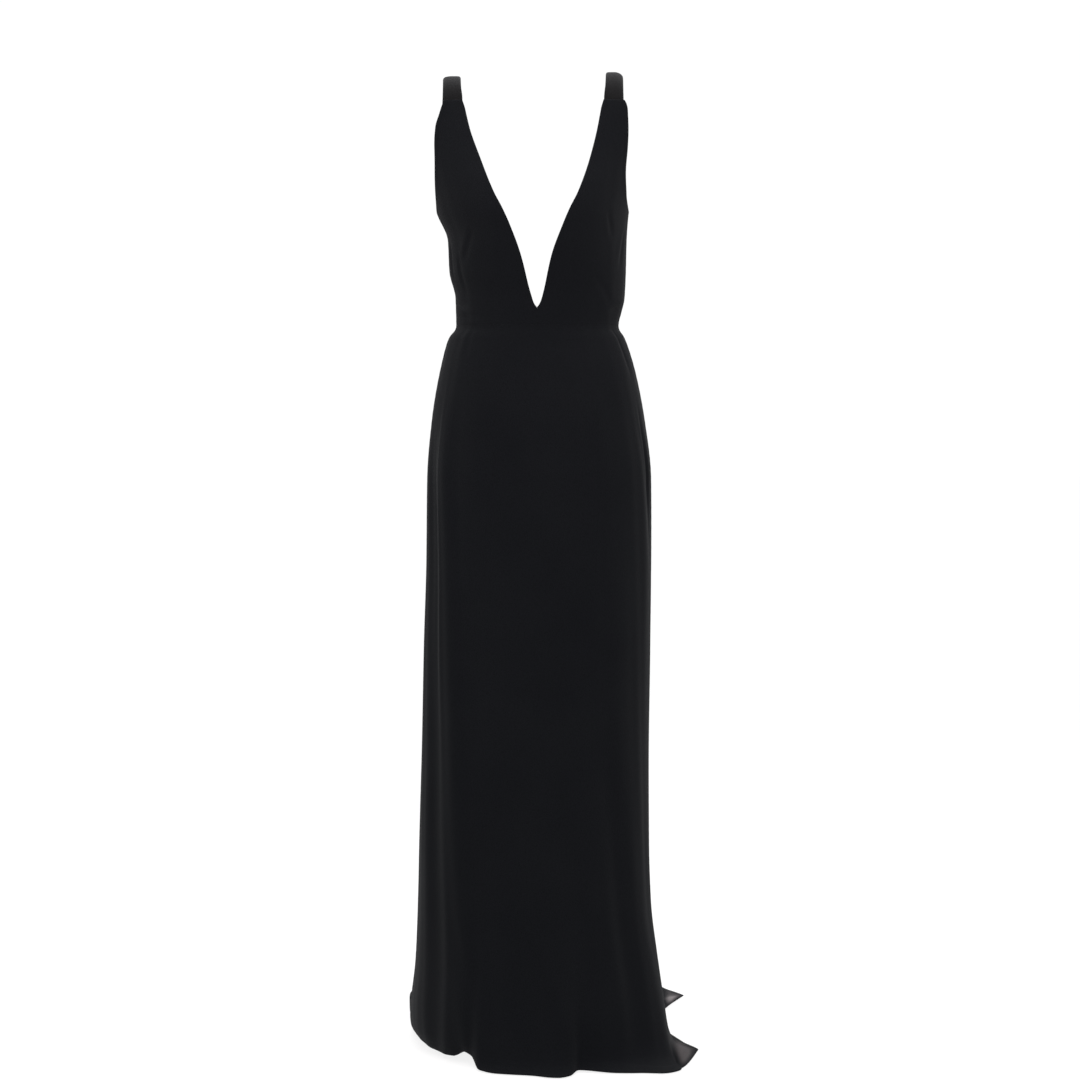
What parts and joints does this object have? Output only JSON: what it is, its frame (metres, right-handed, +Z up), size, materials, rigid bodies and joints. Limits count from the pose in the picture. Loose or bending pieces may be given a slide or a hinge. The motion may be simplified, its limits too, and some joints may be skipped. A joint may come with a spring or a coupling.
{
  "type": "maxi dress",
  "caption": "Floor-length sleeveless gown, hollow as worn: deep V front and back, narrow shoulder straps, fitted waist, column skirt and a short train on the floor.",
  "frame": {"origin": "between the two shoulder straps, at the height of their undersides, where the wearer's shoulders hold the dress", "axes": "+Z up, -Y to the front of the dress, +X to the wearer's left"},
  "size_m": [0.4519, 0.6806, 1.4634],
  "materials": {
    "crepe": "matt black crepe with a faint sheen at grazing angles",
    "strap_crepe": "the same black crepe, doubled"
  },
  "bodies": {
    "root": {"front_bodice_left": "crepe", "front_bodice_right": "crepe", "back_bodice_left": "crepe", "back_bodice_right": "crepe", "skirt_front": "crepe", "skirt_back_left": "crepe", "skirt_back_right": "crepe", "strap_left": "strap_crepe", "strap_right": "strap_crepe"}
  },
  "joints": []
}
